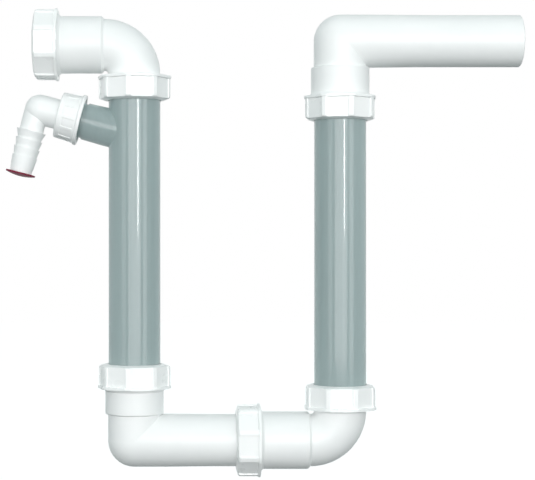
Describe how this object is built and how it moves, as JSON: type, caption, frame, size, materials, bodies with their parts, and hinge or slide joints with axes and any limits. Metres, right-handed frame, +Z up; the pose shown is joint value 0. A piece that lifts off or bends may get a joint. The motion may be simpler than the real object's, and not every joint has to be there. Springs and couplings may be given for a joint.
{
  "type": "condensate trap",
  "caption": "U-shaped drainage trap of clear upright tubes and white bends with compression nuts, an open inlet socket, a plain outlet tail and a capped hose nozzle.",
  "frame": {"origin": "centre of the open end of the outlet tail", "axes": "+X out of the outlet tail, away from the inlet; +Z up along the tubes; Y across the trap's thickness"},
  "size_m": [0.4273, 0.0614, 0.3877],
  "materials": {
    "white_plastic": "moulded satin white",
    "nut_plastic": "moulded satin white",
    "clear_plastic": "smooth, grey-green tint",
    "ring_plastic": "smooth",
    "seal_rubber": "smooth",
    "red_plastic": "soft crimson"
  },
  "bodies": {
    "outlet_bend": {"outlet_bend": "white_plastic"},
    "inlet_bend": {"inlet_bend": "white_plastic", "inlet_seal": "seal_rubber"},
    "outlet_tube_top_seal": {"outlet_tube_top_seal": "seal_rubber"},
    "outlet_tube": {"outlet_tube": "clear_plastic"},
    "outlet_tube_bottom_seal": {"outlet_tube_bottom_seal": "seal_rubber"},
    "lower_outlet_bend": {"lower_outlet_bend": "white_plastic"},
    "crossover_seal": {"crossover_seal": "seal_rubber"},
    "lower_inlet_bend": {"lower_inlet_bend": "white_plastic"},
    "inlet_tube_bottom_seal": {"inlet_tube_bottom_seal": "seal_rubber"},
    "inlet_tube": {"inlet_tube": "clear_plastic"},
    "inlet_tube_top_seal": {"inlet_tube_top_seal": "seal_rubber"},
    "inlet_slip_ring": {"inlet_slip_ring": "ring_plastic"},
    "inlet_nut": {"inlet_nut": "nut_plastic"},
    "inlet_tube_top_slip_ring": {"inlet_tube_top_slip_ring": "ring_plastic"},
    "inlet_tube_top_nut": {"inlet_tube_top_nut": "nut_plastic"},
    "inlet_tube_bottom_slip_ring": {"inlet_tube_bottom_slip_ring": "ring_plastic"},
    "inlet_tube_bottom_nut": {"inlet_tube_bottom_nut": "nut_plastic"},
    "crossover_slip_ring": {"crossover_slip_ring": "ring_plastic"},
    "crossover_nut": {"crossover_nut": "nut_plastic"},
    "outlet_tube_bottom_slip_ring": {"outlet_tube_bottom_slip_ring": "ring_plastic"},
    "outlet_tube_bottom_nut": {"outlet_tube_bottom_nut": "nut_plastic"},
    "outlet_tube_top_slip_ring": {"outlet_tube_top_slip_ring": "ring_plastic"},
    "outlet_tube_top_nut": {"outlet_tube_top_nut": "nut_plastic"},
    "branch_washer": {"branch_washer": "seal_rubber"},
    "branch_nut": {"branch_nut": "white_plastic"},
    "branch_nozzle": {"branch_nozzle": "white_plastic"},
    "nozzle_cap": {"nozzle_cap": "red_plastic"}
  },
  "joints": [
    {"name": "outlet_bend_swivel", "type": "hinge", "parent": "outlet_bend", "child": "outlet_tube_top_seal", "pos_m": [-0.1493, 0, 0], "axis": [0, 0, 1], "range_deg": [-150, 150]},
    {"name": "outlet_tube_draw", "type": "slide", "parent": "outlet_tube_top_seal", "child": "outlet_tube", "axis": [0, 0, -1], "range_m": [0, 0.022]},
    {"name": "lower_outlet_bend_draw", "type": "slide", "parent": "outlet_tube", "child": "outlet_tube_bottom_seal", "axis": [0, 0, -1], "range_m": [0, 0.006]},
    {"name": "lower_outlet_bend_swivel", "type": "hinge", "parent": "outlet_tube_bottom_seal", "child": "lower_outlet_bend", "pos_m": [-0.1493, 0, 0], "axis": [0, 0, 1], "range_deg": [-150, 150]},
    {"name": "crossover_swivel", "type": "hinge", "parent": "lower_outlet_bend", "child": "crossover_seal", "pos_m": [0, 0, -0.3317], "axis": [-1, 0, 0], "continuous": true},
    {"name": "crossover_draw", "type": "slide", "parent": "crossover_seal", "child": "lower_inlet_bend", "axis": [-1, 0, 0], "range_m": [0, 0.035]},
    {"name": "inlet_tube_swivel", "type": "hinge", "parent": "lower_inlet_bend", "child": "inlet_tube_bottom_seal", "pos_m": [-0.3203, 0, 0], "axis": [0, 0, 1], "continuous": true},
    {"name": "inlet_tube_draw", "type": "slide", "parent": "inlet_tube_bottom_seal", "child": "inlet_tube", "axis": [0, 0, 1], "range_m": [0, 0.022]},
    {"name": "inlet_bend_draw", "type": "slide", "parent": "inlet_tube", "child": "inlet_tube_top_seal", "axis": [0, 0, 1], "range_m": [0, 0.006]},
    {"name": "inlet_bend_swivel", "type": "hinge", "parent": "inlet_tube_top_seal", "child": "inlet_bend", "pos_m": [-0.3203, 0, 0], "axis": [0, 0, 1], "continuous": true},
    {"name": "inlet_nut_advance", "type": "slide", "parent": "inlet_bend", "child": "inlet_slip_ring", "axis": [-1, 0, 0], "range_m": [0, 0.012]},
    {"name": "inlet_nut_turn", "type": "hinge", "parent": "inlet_slip_ring", "child": "inlet_nut", "pos_m": [-0.3203, 0, -0.0031], "axis": [-1, 0, 0], "range_deg": [0, 1080]},
    {"name": "inlet_tube_top_nut_advance", "type": "slide", "parent": "inlet_bend", "child": "inlet_tube_top_slip_ring", "axis": [0, 0, -1], "range_m": [0, 0.004]},
    {"name": "inlet_tube_top_nut_turn", "type": "hinge", "parent": "inlet_tube_top_slip_ring", "child": "inlet_tube_top_nut", "pos_m": [-0.3203, 0, -0.0031], "axis": [0, 0, -1], "range_deg": [0, 360]},
    {"name": "inlet_tube_bottom_nut_advance", "type": "slide", "parent": "lower_inlet_bend", "child": "inlet_tube_bottom_slip_ring", "axis": [0, 0, 1], "range_m": [0, 0.012]},
    {"name": "inlet_tube_bottom_nut_turn", "type": "hinge", "parent": "inlet_tube_bottom_slip_ring", "child": "inlet_tube_bottom_nut", "pos_m": [-0.3203, 0, -0.3317], "axis": [0, 0, 1], "range_deg": [0, 1080]},
    {"name": "crossover_nut_advance", "type": "slide", "parent": "lower_outlet_bend", "child": "crossover_slip_ring", "axis": [-1, 0, 0], "range_m": [0, 0.012]},
    {"name": "crossover_nut_turn", "type": "hinge", "parent": "crossover_slip_ring", "child": "crossover_nut", "pos_m": [-0.1493, 0, -0.3317], "axis": [-1, 0, 0], "range_deg": [0, 1080]},
    {"name": "outlet_tube_bottom_nut_advance", "type": "slide", "parent": "lower_outlet_bend", "child": "outlet_tube_bottom_slip_ring", "axis": [0, 0, 1], "range_m": [0, 0.012]},
    {"name": "outlet_tube_bottom_nut_turn", "type": "hinge", "parent": "outlet_tube_bottom_slip_ring", "child": "outlet_tube_bottom_nut", "pos_m": [-0.1493, 0, -0.3317], "axis": [0, 0, 1], "range_deg": [0, 1080]},
    {"name": "outlet_tube_top_nut_advance", "type": "slide", "parent": "outlet_bend", "child": "outlet_tube_top_slip_ring", "axis": [0, 0, -1], "range_m": [0, 0.012]},
    {"name": "outlet_tube_top_nut_turn", "type": "hinge", "parent": "outlet_tube_top_slip_ring", "child": "outlet_tube_top_nut", "pos_m": [-0.1493, 0, 0], "axis": [0, 0, -1], "range_deg": [0, 1080]},
    {"name": "branch_nut_advance", "type": "slide", "parent": "inlet_tube", "child": "branch_washer", "axis": [-0.9681, 0, 0.2504], "range_m": [0, 0.009]},
    {"name": "branch_nut_turn", "type": "hinge", "parent": "branch_washer", "child": "branch_nut", "pos_m": [-0.3203, 0, -0.0773], "axis": [-0.9681, 0, 0.2504], "range_deg": [0, 1080]},
    {"name": "nozzle_swivel", "type": "hinge", "parent": "branch_washer", "child": "branch_nozzle", "pos_m": [-0.3203, 0, -0.0773], "axis": [-0.9681, 0, 0.2504], "range_deg": [-120, 120]},
    {"name": "nozzle_cap_pull", "type": "slide", "parent": "branch_nozzle", "child": "nozzle_cap", "axis": [-0.2504, 0, -0.9681], "range_m": [0, 0.009]}
  ],
  "couplings": [
    {"joint": "inlet_nut_advance", "follows": "inlet_nut_turn", "m_per_rad": 0.00063662},
    {"joint": "inlet_tube_top_nut_advance", "follows": "inlet_tube_top_nut_turn", "m_per_rad": 0.00063662},
    {"joint": "inlet_tube_bottom_nut_advance", "follows": "inlet_tube_bottom_nut_turn", "m_per_rad": 0.00063662},
    {"joint": "crossover_nut_advance", "follows": "crossover_nut_turn", "m_per_rad": 0.00063662},
    {"joint": "outlet_tube_bottom_nut_advance", "follows": "outlet_tube_bottom_nut_turn", "m_per_rad": 0.00063662},
    {"joint": "outlet_tube_top_nut_advance", "follows": "outlet_tube_top_nut_turn", "m_per_rad": 0.00063662},
    {"joint": "branch_nut_advance", "follows": "branch_nut_turn", "m_per_rad": 0.00047746}
  ]
}
